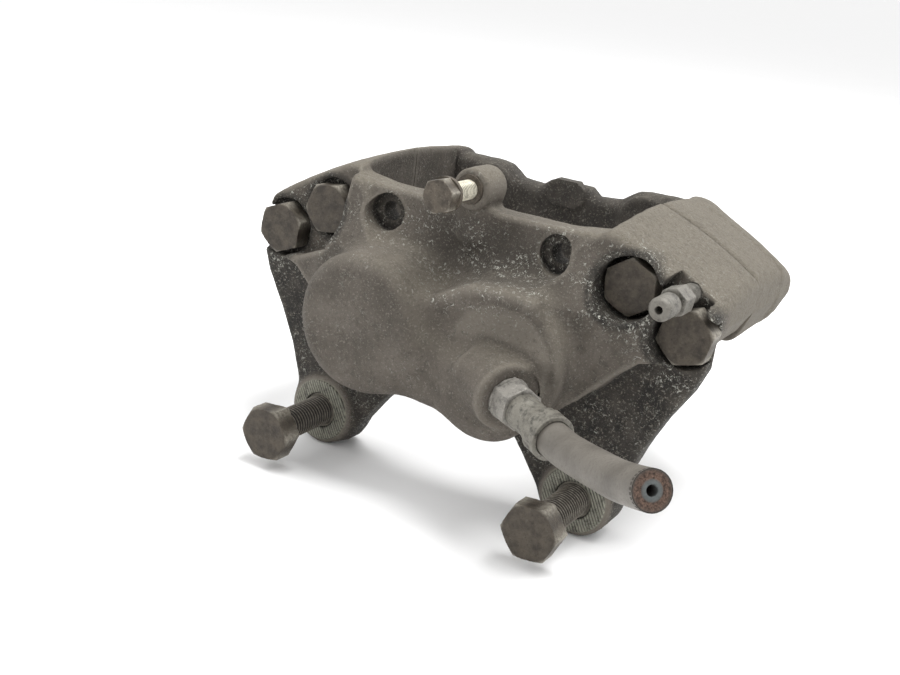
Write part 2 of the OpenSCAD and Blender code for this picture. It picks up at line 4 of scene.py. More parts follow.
import bmesh
import bpy
import numpy as np
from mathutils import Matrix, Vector


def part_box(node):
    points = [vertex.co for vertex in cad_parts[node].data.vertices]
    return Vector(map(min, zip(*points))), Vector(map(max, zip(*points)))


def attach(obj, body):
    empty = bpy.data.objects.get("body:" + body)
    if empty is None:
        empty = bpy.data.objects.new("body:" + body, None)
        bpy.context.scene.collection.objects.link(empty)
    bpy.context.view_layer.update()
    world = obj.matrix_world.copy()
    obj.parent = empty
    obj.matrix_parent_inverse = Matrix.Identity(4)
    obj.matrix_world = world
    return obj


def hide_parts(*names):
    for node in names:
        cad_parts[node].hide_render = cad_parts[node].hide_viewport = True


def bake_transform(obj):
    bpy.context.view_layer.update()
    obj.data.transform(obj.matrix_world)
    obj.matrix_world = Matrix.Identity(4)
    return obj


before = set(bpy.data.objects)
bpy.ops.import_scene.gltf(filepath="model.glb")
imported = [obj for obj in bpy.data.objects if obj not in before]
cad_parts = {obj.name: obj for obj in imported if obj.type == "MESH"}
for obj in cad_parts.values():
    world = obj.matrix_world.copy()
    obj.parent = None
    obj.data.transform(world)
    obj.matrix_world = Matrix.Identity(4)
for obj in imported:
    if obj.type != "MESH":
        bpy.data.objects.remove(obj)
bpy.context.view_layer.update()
MM = 0.001


def low(node):
    """Lowest corner of a CAD node, in millimetres."""
    return np.array(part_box(node)[0]) / MM


def high(node):
    return np.array(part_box(node)[1]) / MM


def middle(node):
    return (low(node) + high(node)) / 2


# ---------------------------------------------------------------- camera and hose come first

CAMERA_AT = (0.200077, -0.365501, 0.183761)
CAMERA_TURN = (71.54638, -6.69042, 31.06665)  # degrees about X, Y and Z
CAMERA_LENS = 48.28


def make_camera():
    data = bpy.data.cameras.new("camera")
    data.lens = CAMERA_LENS
    data.sensor_width = 36
    data.clip_start = 0.01
    camera = bpy.data.objects.new("camera", data)
    camera.rotation_euler = [math.radians(a) for a in CAMERA_TURN]
    camera.location = CAMERA_AT
    bpy.context.scene.collection.objects.link(camera)
    bpy.context.scene.camera = camera


make_camera()

# Same route as in the CAD source: from inside the sleeve out to the cut end, in millimetres
PORT = np.array([37.5, -25.0, 40.3])
PORT_DIR = np.array([0.85, -0.521, -0.077])
PORT_DIR = PORT_DIR / np.linalg.norm(PORT_DIR)
FITTING_LEN = 9.0
SLEEVE_LEN = 20.0
HOSE_GRIP = 15.0
HOSE_R = 6.0
HOSE_BORE_R = 1.65
SLEEVE_END = PORT + (FITTING_LEN + SLEEVE_LEN) * PORT_DIR
HOSE_RISE = [(0, 0, 0), (3.5, -2.3, -0.2), (7.5, -5.2, 0), (12.5, -9.2, 0.9), (18, -13.8, 2.2),
             (23.5, -18.8, 3.8), (29, -24.2, 5.6), (34, -29.4, 7.6), (39, -34.6, 9.9), (44, -39.7, 12.4),
             (48.8, -44.5, 14.9)]
HOSE_ROUTE = [SLEEVE_END - s * PORT_DIR for s in (HOSE_GRIP, 10, 5)]
HOSE_ROUTE += [SLEEVE_END + np.array(p) for p in HOSE_RISE]


# ---------------------------------------------------------------- signed distances, in millimetres
# A point set p is three arrays (x, y, z) that broadcast together. Negative is inside.

def soft_min(a, b, k):
    h = np.clip(0.5 + 0.5 * (b - a) / k, 0, 1)
    return b + (a - b) * h - k * h * (1 - h)


def soft_max(a, b, k):
    return -soft_min(-a, -b, k)


def span(t, t0, t1):
    """Distance beyond the stretch from t0 to t1."""
    return np.abs(t - (t0 + t1) / 2) - (t1 - t0) / 2


def ramp(value, start, end):
    """0 at start and 1 at end, held at those beyond them."""
    return np.clip((value - start) / (end - start), 0, 1)


def capped(across, along, edge):
    """Combines a cross-section distance and an end distance, with the rim rounded by edge."""
    a, b = across + edge, along + edge
    return np.minimum(np.maximum(a, b), 0) + np.hypot(np.maximum(a, 0), np.maximum(b, 0)) - edge


def rod(p, x, z, y0, y1, r, edge=0.0):
    """A round bar along Y."""
    return capped(np.hypot(p[0] - x, p[2] - z) - r, span(p[1], y0, y1), edge)


def bar(p, start, direction, length, r, edge=0.0):
    """A round bar along any direction."""
    q = [p[i] - start[i] for i in range(3)]
    t = sum(q[i] * direction[i] for i in range(3))
    off = np.sqrt(np.maximum(sum(c * c for c in q) - t * t, 0))
    return capped(off - r, span(t, 0, length), edge)


def flat_outline(x, z, corners):
    """Signed distance to a closed polygon in the XZ plane."""
    points = np.array(corners, np.float32)
    best = None
    sign = 1.0
    for a, b in zip(points, np.roll(points, 1, axis=0)):
        e, wx, wz = b - a, x - a[0], z - a[1]
        t = np.clip((wx * e[0] + wz * e[1]) / (e @ e), 0, 1)
        d = (wx - e[0] * t) ** 2 + (wz - e[1] * t) ** 2
        best = d if best is None else np.minimum(best, d)
        above, below, left = z >= a[1], z < b[1], e[0] * wz > e[1] * wx
        sign = sign * np.where((above & below & left) | ~(above | below | left), -1.0, 1.0)
    return sign * np.sqrt(best)


def plate(p, corners, y0, y1, grow=0.0, edge=0.0):
    """A polygon in XZ, grown by grow, as a slab between y0 and y1."""
    return capped(flat_outline(p[0], p[2], corners) - grow, span(p[1], y0, y1), edge)


def hex_prism(across, t, af, length, corner=0.3):
    """A hexagonal bar: across is the pair of cross coordinates, t runs from 0 to length along it."""
    u, v = across
    sides = [np.abs(u * math.cos(a) + v * math.sin(a)) for a in (0, math.pi / 3, 2 * math.pi / 3)]
    d = soft_max(soft_max(sides[0], sides[1], corner), sides[2], corner) - af / 2
    return np.maximum(d, span(t, 0, length))


# ---------------------------------------------------------------- meshing a distance field

def slopes(field, points, step=0.02):
    """Unit normals of a field at points (n, 3)."""
    n = np.empty_like(points)
    for axis in range(3):
        shift = np.zeros(3, points.dtype)
        shift[axis] = step
        ahead, behind = points + shift, points - shift
        n[:, axis] = field(tuple(ahead.T)) - field(tuple(behind.T))
    return n / np.maximum(np.linalg.norm(n, axis=1, keepdims=True), 1e-9)


def contour(field, lo, hi, step):
    """Dual contouring: vertices (n, 3) and quads (m, 4) of field = 0, with its sharp edges kept."""
    axes = [np.arange(lo[i] - 2.5 * step, hi[i] + 3 * step, step) for i in range(3)]
    shape = tuple(len(a) for a in axes)
    grid = (axes[0][:, None, None], axes[1][None, :, None], axes[2][None, None, :])
    f = np.broadcast_to(field(grid), shape).astype(np.float32)
    f = np.where(f == 0, 1e-6, f)
    origin = np.array([a[0] for a in axes])
    inside = f < 0
    strides = np.array([shape[1] * shape[2], shape[2], 1])
    points, cells, flips = [], [], []
    for axis in range(3):
        n = shape[axis]
        first = np.take(inside, range(n - 1), axis)
        second = np.take(inside, range(1, n), axis)
        at = np.argwhere(first != second)
        f0 = f[tuple(at.T)]
        f1 = f[tuple((at + np.eye(3, dtype=int)[axis]).T)]
        where = at.astype(float)
        where[:, axis] += f0 / (f0 - f1)
        points.append(origin + step * where)
        u, v = (axis + 1) % 3, (axis + 2) % 3
        index = at @ strides
        around = [index, index - strides[u], index - strides[u] - strides[v], index - strides[v]]
        cells.append(np.stack(around, 1))
        flips.append(f0 < 0)
    points = np.concatenate(points)
    cells = np.concatenate(cells)
    flips = np.concatenate(flips)
    normals = slopes(field, points)
    used, quads = np.unique(cells, return_inverse=True)
    quads = quads.reshape(cells.shape)
    count = np.bincount(quads.ravel(), minlength=len(used)).astype(float)

    def gather(value):
        return np.bincount(quads.ravel(), np.repeat(value, 4), minlength=len(used))

    mass = np.stack([gather(points[:, i]) for i in range(3)], 1) / count[:, None]
    # Minimise the distance to every tangent plane, held lightly to the mean of the crossings
    ata = np.empty((len(used), 3, 3))
    for i in range(3):
        for j in range(i, 3):
            ata[:, i, j] = ata[:, j, i] = gather(normals[:, i] * normals[:, j])
    offset = (normals * points).sum(1)
    atb = np.stack([gather(normals[:, i] * offset) for i in range(3)], 1)
    atb -= np.einsum("nij,nj->ni", ata, mass)
    ata += 0.08 * np.eye(3) * count[:, None, None] / 4
    move = np.linalg.solve(ata, atb[:, :, None])[:, :, 0]
    corner = origin + step * np.stack(np.unravel_index(used, shape), 1)
    vertices = np.clip(mass + move, corner, corner + step)
    quads = np.where(flips[:, None], quads, quads[:, ::-1])
    return vertices, quads


def lattice(points, size, seed):
    """Smooth noise in -1..1 with features of about size millimetres."""
    q = points / size
    cell = np.floor(q).astype(np.int64)
    f = q - cell
    f = f * f * (3 - 2 * f)
    total = np.zeros(len(points))
    for corner in np.ndindex(2, 2, 2):
        c = cell + np.array(corner)
        h = c[:, 0] * 374761393 + c[:, 1] * 668265263 + c[:, 2] * 2147483647 + seed * 1013904223
        h = (h ^ (h >> 13)) * 1274126177
        value = ((h ^ (h >> 16)) & 0xFFFF) / 32767.5 - 1
        weight = np.prod(np.where(corner, f, 1 - f), axis=1)
        total += value * weight
    return total


def add_mesh(name, vertices, faces, body, paint, smooth=35, masks=None):
    """A mesh object from millimetre vertices, riding on a body."""
    mesh = bpy.data.meshes.new(name)
    faces = np.asarray(faces) if not isinstance(faces, list) else faces
    if isinstance(faces, np.ndarray):
        mesh.vertices.add(len(vertices))
        mesh.vertices.foreach_set("co", (np.asarray(vertices) * MM).astype(np.float32).ravel())
        mesh.loops.add(faces.size)
        mesh.loops.foreach_set("vertex_index", faces.ravel().astype(np.int32))
        mesh.polygons.add(len(faces))
        mesh.polygons.foreach_set("loop_start", np.arange(0, faces.size, faces.shape[1], dtype=np.int32))
        mesh.update(calc_edges=True)
    else:
        mesh.from_pydata([tuple(v * MM) for v in vertices], [], faces)
    mesh.validate()
    for key, value in (masks or {}).items():
        mesh.attributes.new(key, "FLOAT", "POINT").data.foreach_set("value", value.astype(np.float32))
    mesh.shade_smooth()
    mesh.set_sharp_from_angle(angle=math.radians(smooth))
    mesh.materials.append(paint)
    piece = bpy.data.objects.new(name, mesh)
    bpy.context.scene.collection.objects.link(piece)
    if body:
        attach(piece, body)
    return piece


# ---------------------------------------------------------------- sizes taken from the frame, in millimetres

DISC_Z = -57.0
JOINT_Y = low("outer_housing")[1]
LUG_X = middle("mount_bolt_right")[0]
HEAD_Y = low("mount_bolt_right")[1]
PISTON_X = middle("piston_inner_right")[0]
PISTON_Z = middle("piston_inner_right")[2]
PISTON_R = (high("piston_inner_right")[0] - low("piston_inner_right")[0]) / 2
PISTON_PROUD = 1.5
BORE_DEPTH = 28.7
BORE_DEPTH_OUT = 30.0
MOUTH_IN = high("piston_inner_right")[1] - PISTON_PROUD
MOUTH_OUT = low("piston_outer_right")[1] + PISTON_PROUD
CENTRE_Z = middle("retainer_bolt")[2]
BLEED = middle("bleed_screw")
BOLT_XS = (62.7, 84.3)
BOLT_ZS = (79.98, 67.86)
BOLT_SEAT_Y = 10.6
PIN_X, PIN_Z = 35.0, 84.95
PIN_R, PIN_MOUTH_R = 3.6, 7.0
SLOT_R, SLOT_HALF = 141.0, 16.0
BULGE_R = 26.0
WALL_FRONT = 3.0
WALL_BACK = MOUTH_OUT + 11
RIM_Z = 94.0
WINDOW_X = 52.0
EAR_FRONT = 4.0
LUG_R, LUG_LEN = 14.0, 17.0
LUG_FACE_Y = 0.8
LUG_HOLE_R = 6.05
CENTRE_HOLE_R = 5.27
BLEED_HOLE_R = 3.55
BORE_R = PISTON_R + 0.05
BOOT_SEAT_R = PISTON_R + 4.62
BOOT_SEAT_DEPTH = 4.8
PORT_FACE_R = 11.6
FRONT = -60.0  # in front of the whole caliper
THROUGH = 5.0  # cuts run this far past the surface that they open into


def arch(p, offset=0.0):
    """Arched top of the bridge: a barrel turned about the disc axis."""
    r = np.hypot(p[0], p[2] - DISC_Z)
    y = p[1] - JOINT_Y
    crown = 167.4 - 0.0017 * y * y - np.where(y < 0, 0.0000003 * y ** 4, 0)
    crown = crown - np.where(y > 30, 0.006 * (y - 30) ** 2, 0)
    return r - crown - offset


def bolt_recess(p, y):
    """Space around the four bridge bolts in front of a plane at y."""
    x = np.abs(p[0])
    upper = rod((x, p[1], p[2]), BOLT_XS[0], BOLT_ZS[0], FRONT, y, 11.0, 0.6)
    lower = rod((x, p[1], p[2]), BOLT_XS[1], BOLT_ZS[1], FRONT, y, 11.0, 0.6)
    return np.minimum(upper, lower)


def disc_slot(p):
    """Space that the disc's rim turns in."""
    return capped(np.hypot(p[0], p[2] - DISC_Z) - SLOT_R, np.abs(p[1] - JOINT_Y) - SLOT_HALF, 0.5)


def bores(p, mouth, way, depth=BORE_DEPTH):
    """The machined cylinders of one half; way is +1 where they open towards +Y."""
    m = (np.abs(p[0]), p[1], p[2])
    past = mouth + THROUGH * way
    bore = rod(m, PISTON_X, PISTON_Z, *sorted((mouth - depth * way, past)), BORE_R)
    seat = rod(m, PISTON_X, PISTON_Z, *sorted((mouth - BOOT_SEAT_DEPTH * way, past)), BOOT_SEAT_R)
    return np.minimum(bore, seat)


def inner_cast(p):
    """The inboard casting before machining."""
    x, y, z = p
    ax = np.abs(x)
    mirrored = (ax, y, z)
    # Left-hand cylinder, with its large flat end
    body = rod(p, -PISTON_X, PISTON_Z, -25, MOUTH_IN, BULGE_R, 6.5)
    # Right-hand cylinder, with a lower lobe in front of it that the hose port grows out of
    right = rod(p, PISTON_X, PISTON_Z, -18.5, MOUTH_IN, 23.5, 8)
    lobe = rod(p, PISTON_X - 1, 37.5, -25.5, 0, 18, 9)
    web = plate(p, [(-24, 34), (20, 30), (20, 41), (-24, 50)], -22, MOUTH_IN, 7, 7)
    body = soft_min(body, soft_min(soft_min(right, lobe, 5), web, 7), 7)
    # Ridge along the upper edge of the body, which dips between the cylinders
    crest = [(-36, 46), (-30, 69), (-20, 68), (-10, 63.5), (-1, 62), (7, 66), (14, 69.5), (26, 71), (36, 70),
             (42, 50)]
    ridge = plate(p, crest, -19.5, MOUTH_IN, 3, 5)
    body = soft_min(body, ridge, 4)
    # Trough below it on the right-hand side
    trough = bar(p, (0, -27.3, 59.5), (0.9995, 0.02, 0.025), 46, 9, 9)
    body = soft_max(body, -trough, 9)
    # Shoulder that runs from each cylinder to its bridge bolts
    slope = -6 + 0.17 * (ax - 50) - 0.10 * (np.minimum(z, 70) - 60) + 0.45 * np.maximum(z - 70, 0) - y
    slope = slope * np.where(z > 70, 0.90, 0.98)
    flank = [(22, 32), (40, 34), (50, 41), (60, 51.5), (70, 60), (86, 64), (86, 78), (62, 93), (47, 86),
             (42, 76), (30, 64)]
    band = flat_outline(ax, z, flank) - 4
    shoulder = soft_max(soft_max(soft_max(band, slope, 1.6), arch(p, -1.5), 2), y - MOUTH_IN, 1)
    body = soft_min(body, shoulder, 5)
    wall_face = [(-56, 50), (56, 50), (56, RIM_Z - 1.5), (-56, RIM_Z - 1.5)]
    wall = plate(p, wall_face, WALL_FRONT, MOUTH_IN, 1.5, 1.5)
    body = soft_min(body, wall, 11)
    # Boss of the hose port
    body = soft_min(body, bar(p, PORT - 19 * PORT_DIR, PORT_DIR, 19, 12, 1.0), 2.5)
    body = soft_max(body, -bar(p, PORT + 1.5 * PORT_DIR, PORT_DIR, 40, 15, 3), 4)
    # End blocks
    ends = flat_outline(ax, z, [(58, 66), (84, 66), (87.5, 72), (88, 82), (80, 102), (58, 112)]) - 6
    ends = soft_max(ends, y - JOINT_Y, 0.6)
    ends = soft_max(ends, 1.5 - y, 4)
    ends = soft_max(ends, arch(p), 3)
    body = soft_min(body, ends, 3)
    # Ears and lugs
    ear_face = [(12, 60), (14, 32), (24, 22), (33, 11), (41, 0), (46, -8), (56, -6), (66, -1), (69, 11),
                (73.5, 24), (80, 38), (87, 50), (90, 58), (90, 66), (60, 84)]
    ear = plate(mirrored, ear_face, EAR_FRONT, MOUTH_IN, 2.5, 2.0)
    lugs = rod(mirrored, LUG_X, 0, LUG_FACE_Y, LUG_LEN, LUG_R, 2.2)
    ear = soft_min(ear, lugs, 4)
    body = soft_min(body, ear, 1.4)
    # Lug for the centre bolt, faired down into the wall
    centre = rod(p, 0, CENTRE_Z, -0.8, MOUTH_IN - 0.5, 7.3, 1.4)
    fairing = [(-2.5, 84), (2.5, 84), (2.5, CENTRE_Z), (-2.5, CENTRE_Z)]
    neck = plate(p, fairing, 1.8, MOUTH_IN - 0.5, 3.0, 2)
    return soft_min(body, soft_min(centre, neck, 2.5), 3.5)


def inner_field(p):
    x, y, z = p
    ax = np.abs(x)
    m = (ax, y, z)
    cast = inner_cast(p)
    spot = rod(p, BLEED[0] + 0.6, BLEED[2] + 0.4, FRONT, BOLT_SEAT_Y - 0.6, 8.0, 0.6)
    cast = soft_max(cast, -soft_min(bolt_recess(p, BOLT_SEAT_Y), spot, 2.5), 0.9)
    # The left-hand block is milled flat around its bolts, the right-hand one isn't
    flat = [(-51.5, 106), (-52.0, 90), (-54, 74), (-57, 67), (-72, 60.5), (-104, 57), (-108, 104)]
    milled = plate(p, flat, FRONT, 7.4, 0.3, 3.0)
    cast = soft_max(cast, -milled, 1.8)
    # Disc slot and window
    cast = soft_max(cast, -disc_slot(p), 0.8)
    window = np.maximum(np.maximum(ax - WINDOW_X, MOUTH_IN - y), 20 - z)
    cast = soft_max(cast, -window, 1.2)
    cuts = bores(p, MOUTH_IN, 1)
    cuts = np.minimum(cuts, rod(m, PIN_X, PIN_Z, FRONT, MOUTH_IN + THROUGH, PIN_R))
    cuts = np.minimum(cuts, rod(m, PIN_X, PIN_Z, FRONT, WALL_FRONT + 2.5, PIN_MOUTH_R))
    cuts = np.minimum(cuts, rod(m, LUG_X, 0, -1, LUG_LEN + 2, LUG_HOLE_R))
    cuts = np.minimum(cuts, rod(p, 0, CENTRE_Z, -10, MOUTH_IN + THROUGH, CENTRE_HOLE_R))
    cuts = np.minimum(cuts, rod(p, BLEED[0], BLEED[2], FRONT, 26, BLEED_HOLE_R))
    cuts = np.minimum(cuts, bar(p, PORT, PORT_DIR, 40, PORT_FACE_R))
    cuts = np.minimum(cuts, bar(p, PORT - 12 * PORT_DIR, PORT_DIR, 13, 5.0))
    return np.maximum(cast, -cuts)


def outer_cast(p):
    """The outboard casting before machining."""
    x, y, z = p
    ax = np.abs(x)
    m = (ax, y, z)
    bulges = rod(m, PISTON_X, PISTON_Z, MOUTH_OUT, 117, BULGE_R, 10)
    web = plate(p, [(-27, 34), (27, 34), (27, 60), (-27, 60)], MOUTH_OUT, 108, 8, 7)
    body = soft_min(bulges, web, 9)
    slope = (y - 113) * 0.915 + (ax - 30) * 0.33 + (z - 45) * 0.20
    flank = [(22, 32), (42, 38), (56, 52), (66, 61), (86, 66), (86, 78), (60, 90), (44, 78), (30, 64)]
    band = flat_outline(ax, z, flank) - 5
    shoulder = soft_max(soft_max(band, slope, 8), MOUTH_OUT - y, 1)
    body = soft_min(body, shoulder, 7)
    wave = [(-54, 50), (54, 50), (54, 94), (44, 95), (30, 94), (23, 89.5), (12, 88.5), (8, 91.7), (-8, 91.7),
            (-12, 88.5), (-23, 89.5), (-30, 94), (-44, 95), (-54, 94)]
    wall = plate(p, wave, MOUTH_OUT, WALL_BACK, 2, 4)
    body = soft_min(body, wall, 10)
    body = soft_min(body, rod(m, PIN_X, PIN_Z, MOUTH_OUT - 1.2, WALL_BACK, 10.5, 1.0), 3)
    pad = [(-7.5, 87), (-7.5, 93), (-4.5, 95), (4.5, 95), (7.5, 93), (7.5, 87), (4.5, 85), (-4.5, 85)]
    rib = plate(p, pad, MOUTH_OUT - 1.4, MOUTH_OUT + 4, 0.5, 0.6)
    body = soft_min(body, rib, 1.0)
    ends = flat_outline(ax, z, [(58, 63), (84, 63), (87, 70), (87.5, 82), (80, 102), (58, 112)]) - 6
    ends = soft_max(ends, JOINT_Y - y, 0.6)
    ends = soft_max(ends, y - 98, 5)
    ends = soft_max(ends, arch(p), 3.5)
    return soft_min(body, ends, 5)


def outer_field(p):
    x, y, z = p
    ax = np.abs(x)
    m = (ax, y, z)
    cast = outer_cast(p)
    cast = soft_max(cast, -disc_slot(p), 0.8)
    window = np.maximum(np.maximum(ax - WINDOW_X, y - MOUTH_OUT + 1.5), 20 - z)
    cast = soft_max(cast, -window, 1.2)
    cuts = bores(p, MOUTH_OUT, -1, BORE_DEPTH_OUT)
    cuts = np.minimum(cuts, rod(m, PIN_X, PIN_Z, MOUTH_OUT - THROUGH, 130, PIN_R))
    return np.maximum(cast, -cuts)


# ---------------------------------------------------------------- materials

class Paint:
    """A material's node tree, put together one node at a time."""

    def __init__(self, name, roughness=0.6, metallic=0.0, specular=0.5):
        self.material = bpy.data.materials.new(name)
        self.material.use_nodes = True
        self.tree = self.material.node_tree
        self.shader = self.tree.nodes["Principled BSDF"]
        self.shader.inputs["Roughness"].default_value = roughness
        self.shader.inputs["Metallic"].default_value = metallic
        self.shader.inputs["Specular IOR Level"].default_value = specular
        self.place = self.tree.nodes.new("ShaderNodeTexCoord").outputs["Object"]

    def feed(self, socket, value):
        if isinstance(value, bpy.types.NodeSocket):
            self.tree.links.new(value, socket)
        elif isinstance(value, tuple) and len(value) == 3:
            socket.default_value = (*value, 1)
        else:
            socket.default_value = value

    def noise(self, size_mm, detail=3.0, rough=0.55, distortion=0.0, squash=None):
        """Noise in 0..1 with features of about size_mm."""
        node = self.tree.nodes.new("ShaderNodeTexNoise")
        place = self.place
        if squash:
            scale = self.tree.nodes.new("ShaderNodeMapping")
            self.feed(scale.inputs["Vector"], place)
            scale.inputs["Scale"].default_value = squash
            place = scale.outputs["Vector"]
        self.feed(node.inputs["Vector"], place)
        self.feed(node.inputs["Scale"], 1000.0 / size_mm)
        self.feed(node.inputs["Detail"], detail)
        self.feed(node.inputs["Roughness"], rough)
        self.feed(node.inputs["Distortion"], distortion)
        return node.outputs["Fac"]

    def mask(self, name):
        node = self.tree.nodes.new("ShaderNodeAttribute")
        node.attribute_name = name
        return node.outputs["Fac"]

    def level(self, value, start, end, low=0.0, high=1.0):
        """Maps start..end to low..high, clamped."""
        node = self.tree.nodes.new("ShaderNodeMapRange")
        sockets = ("Value", "From Min", "From Max", "To Min", "To Max")
        for key, v in zip(sockets, (value, start, end, low, high)):
            self.feed(node.inputs[key], v)
        return node.outputs["Result"]

    def calc(self, operation, a, b=0.0):
        node = self.tree.nodes.new("ShaderNodeMath")
        node.operation = operation
        node.use_clamp = True
        self.feed(node.inputs[0], a)
        self.feed(node.inputs[1], b)
        return node.outputs[0]

    def mix(self, a, b, share):
        node = self.tree.nodes.new("ShaderNodeMix")
        node.data_type = "RGBA"
        self.feed(node.inputs[0], share)
        self.feed(node.inputs[6], a)
        self.feed(node.inputs[7], b)
        return node.outputs[2]

    def colour(self, value):
        self.feed(self.shader.inputs["Base Color"], value)
        return self

    def roughness(self, value):
        self.feed(self.shader.inputs["Roughness"], value)
        return self

    def bump(self, height, depth_mm, strength=1.0, over=None):
        node = self.tree.nodes.new("ShaderNodeBump")
        self.feed(node.inputs["Height"], height)
        self.feed(node.inputs["Distance"], depth_mm * MM)
        self.feed(node.inputs["Strength"], strength)
        if over is not None:
            self.feed(node.inputs["Normal"], over)
        self.feed(self.shader.inputs["Normal"], node.outputs["Normal"])
        return node.outputs["Normal"]


def cast_iron():
    """Rough sand casting: brown-grey, dusty on top with painted light on faces turned up and to the light,
    black in the hollows as dirt and painted shade, lighter on convex edges as wear and painted highlight,
    with pits and pale specks.
    """
    p = Paint("cast_iron", metallic=0.0, specular=0.28)
    broad = p.noise(20, 4, 0.6)
    blotch = p.noise(4.5, 5, 0.7)
    fine = p.noise(1.5, 5, 0.75)
    grain = p.noise(0.75, 3, 0.7)
    base = p.mix((0.070, 0.060, 0.049), (0.120, 0.104, 0.087), p.level(broad, 0.36, 0.66))
    base = p.mix(base, (0.046, 0.040, 0.033), p.level(blotch, 0.52, 0.70, 0, 0.55))
    # Convex edges lighter, partly as wear and partly as a painted highlight
    base = p.mix(base, (0.160, 0.142, 0.118), p.level(p.mask("edge"), 0.15, 0.9, 0, 0.75))
    # Dust mask, which also carries painted light on faces turned up and towards the light
    dust = p.calc("MULTIPLY", p.mask("dust"), p.level(p.noise(2.2, 5, 0.75), 0.32, 0.58, 0.55, 1.0))
    base = p.mix(base, p.mix((0.112, 0.098, 0.075), (0.198, 0.178, 0.143), p.level(fine, 0.38, 0.62)), dust)
    # Painted shade: concave creases darkened nearly to black
    crease_shade = p.calc("MULTIPLY", p.mask("crease_shade"), p.level(blotch, 0.3, 0.6, 0.5, 1.0))
    base = p.mix(base, (0.018, 0.016, 0.013), crease_shade)
    # Dirt and painted shade together: recesses, holes and the hollow darkened nearly to black
    grime_and_shade = p.calc("MULTIPLY", p.mask("grime_and_shade"), p.level(p.noise(6, 4, 0.6), 0.3, 0.65, 0.6, 1.0))
    base = p.mix(base, p.mix((0.011, 0.010, 0.009), (0.042, 0.038, 0.032), p.level(fine, 0.45, 0.68)), grime_and_shade)
    base = p.mix(base, (0.020, 0.018, 0.014), p.level(fine, 0.54, 0.68, 0, 0.70))
    base = p.mix(base, (0.235, 0.212, 0.178), p.level(grain, 0.56, 0.70, 0, 0.72))
    flecks = p.level(p.noise(1.5, 5, 0.85, 0.8), 0.565, 0.63)
    patches = p.level(p.noise(9, 4, 0.6), 0.38, 0.58)
    chalk = p.calc("MULTIPLY", p.calc("MULTIPLY", flecks, patches), p.calc("ADD", p.mask("chalk"), 0.20))
    base = p.mix(base, (0.56, 0.56, 0.50), chalk)
    base = p.mix(base, p.mix((0.30, 0.28, 0.23), (0.13, 0.115, 0.095), p.noise(2.5, 4)), p.mask("machined"))
    p.colour(base)
    p.roughness(p.level(fine, 0.3, 0.7, 0.60, 0.88))
    first = p.bump(fine, 0.55, 1.0)
    p.bump(grain, 0.22, 1.0, first)
    return p.material


def dark_steel(name, tone=1.0, worn=0.4):
    """Oxidised bolt steel: dark brown-grey, lighter where worn and with a painted highlight on thread
    crests, with painted shade in the thread's roots.
    """
    p = Paint(name, metallic=0.2, specular=0.35)
    broad, fine, grain = p.noise(4, 5, 0.7), p.noise(1.3, 5, 0.75), p.noise(0.6, 3, 0.7)
    deep = tuple(c * tone for c in (0.030, 0.024, 0.018))
    plain_tone = tuple(c * tone for c in (0.078, 0.065, 0.050))
    pale = tuple(c * tone for c in (0.15, 0.130, 0.102))
    base = p.mix(deep, plain_tone, p.level(broad, 0.36, 0.64))
    base = p.mix(base, pale, p.level(fine, 0.55, 0.70, 0, worn))
    base = p.mix(base, (0.016, 0.013, 0.010), p.level(grain, 0.56, 0.70, 0, 0.6))
    # Lighter on worn hex corners, and a painted highlight on thread crests
    rubbed_and_highlight = p.calc("MULTIPLY", p.mask("edge"), p.level(fine, 0.35, 0.6, 0.2, 1.0))
    base = p.mix(base, (0.26, 0.24, 0.20), rubbed_and_highlight)
    # Painted shade: the thread's roots darkened nearly to black
    base = p.mix(base, (0.010, 0.009, 0.008), p.mask("groove_shade"))
    p.colour(base)
    p.roughness(p.level(broad, 0.3, 0.7, 0.45, 0.72))
    first = p.bump(fine, 0.22, 0.9)
    p.bump(grain, 0.09, 0.9, first)
    return p.material


def zinc(name, tint=(0.235, 0.225, 0.20), dirt=0.7, metallic=0.3):
    """Dull aged zinc plate with dirt in patches and painted shade in the grooves."""
    p = Paint(name, metallic=metallic, specular=0.4)
    broad, fine = p.noise(2.6, 5, 0.7), p.noise(1.0, 5, 0.75)
    dark = tuple(c * 0.28 for c in tint)
    base = p.mix(tint, dark, p.level(broad, 0.48, 0.66, 0, dirt))
    base = p.mix(base, tuple(min(1, c * 1.6) for c in tint), p.level(fine, 0.56, 0.70, 0, 0.75))
    base = p.mix(base, dark, p.level(p.noise(0.6, 3, 0.7), 0.56, 0.72, 0, 0.6))
    # Painted shade in thread roots and serration grooves
    base = p.mix(base, (0.022, 0.020, 0.017), p.mask("groove_shade"))
    p.colour(base)
    p.roughness(p.level(fine, 0.3, 0.7, 0.38, 0.66))
    p.bump(fine, 0.16, 0.9)
    return p.material


def hose_rubber():
    p = Paint("hose_rubber", specular=0.35)
    broad, fine = p.noise(12, 3, 0.5), p.noise(1.0, 4, 0.7)
    base = p.mix((0.094, 0.085, 0.072), (0.142, 0.130, 0.112), p.level(broad, 0.36, 0.64))
    base = p.mix(base, (0.07, 0.062, 0.053), p.level(fine, 0.55, 0.72, 0, 0.5))
    p.colour(base)
    p.roughness(p.level(fine, 0.3, 0.7, 0.42, 0.60))
    p.bump(p.noise(0.9, 4, 0.7), 0.07, 0.7)
    return p.material


def rubber(name, shade=0.022):
    p = Paint(name, specular=0.35)
    fine = p.noise(1.2, 4, 0.7)
    dusty = (shade * 2.6, shade * 2.4, shade * 2.1)
    p.colour(p.mix((shade, shade * 0.97, shade * 0.93), dusty, p.level(fine, 0.4, 0.75)))
    p.roughness(p.level(fine, 0.3, 0.7, 0.55, 0.8))
    p.bump(p.noise(0.5, 3), 0.05, 0.6)
    return p.material


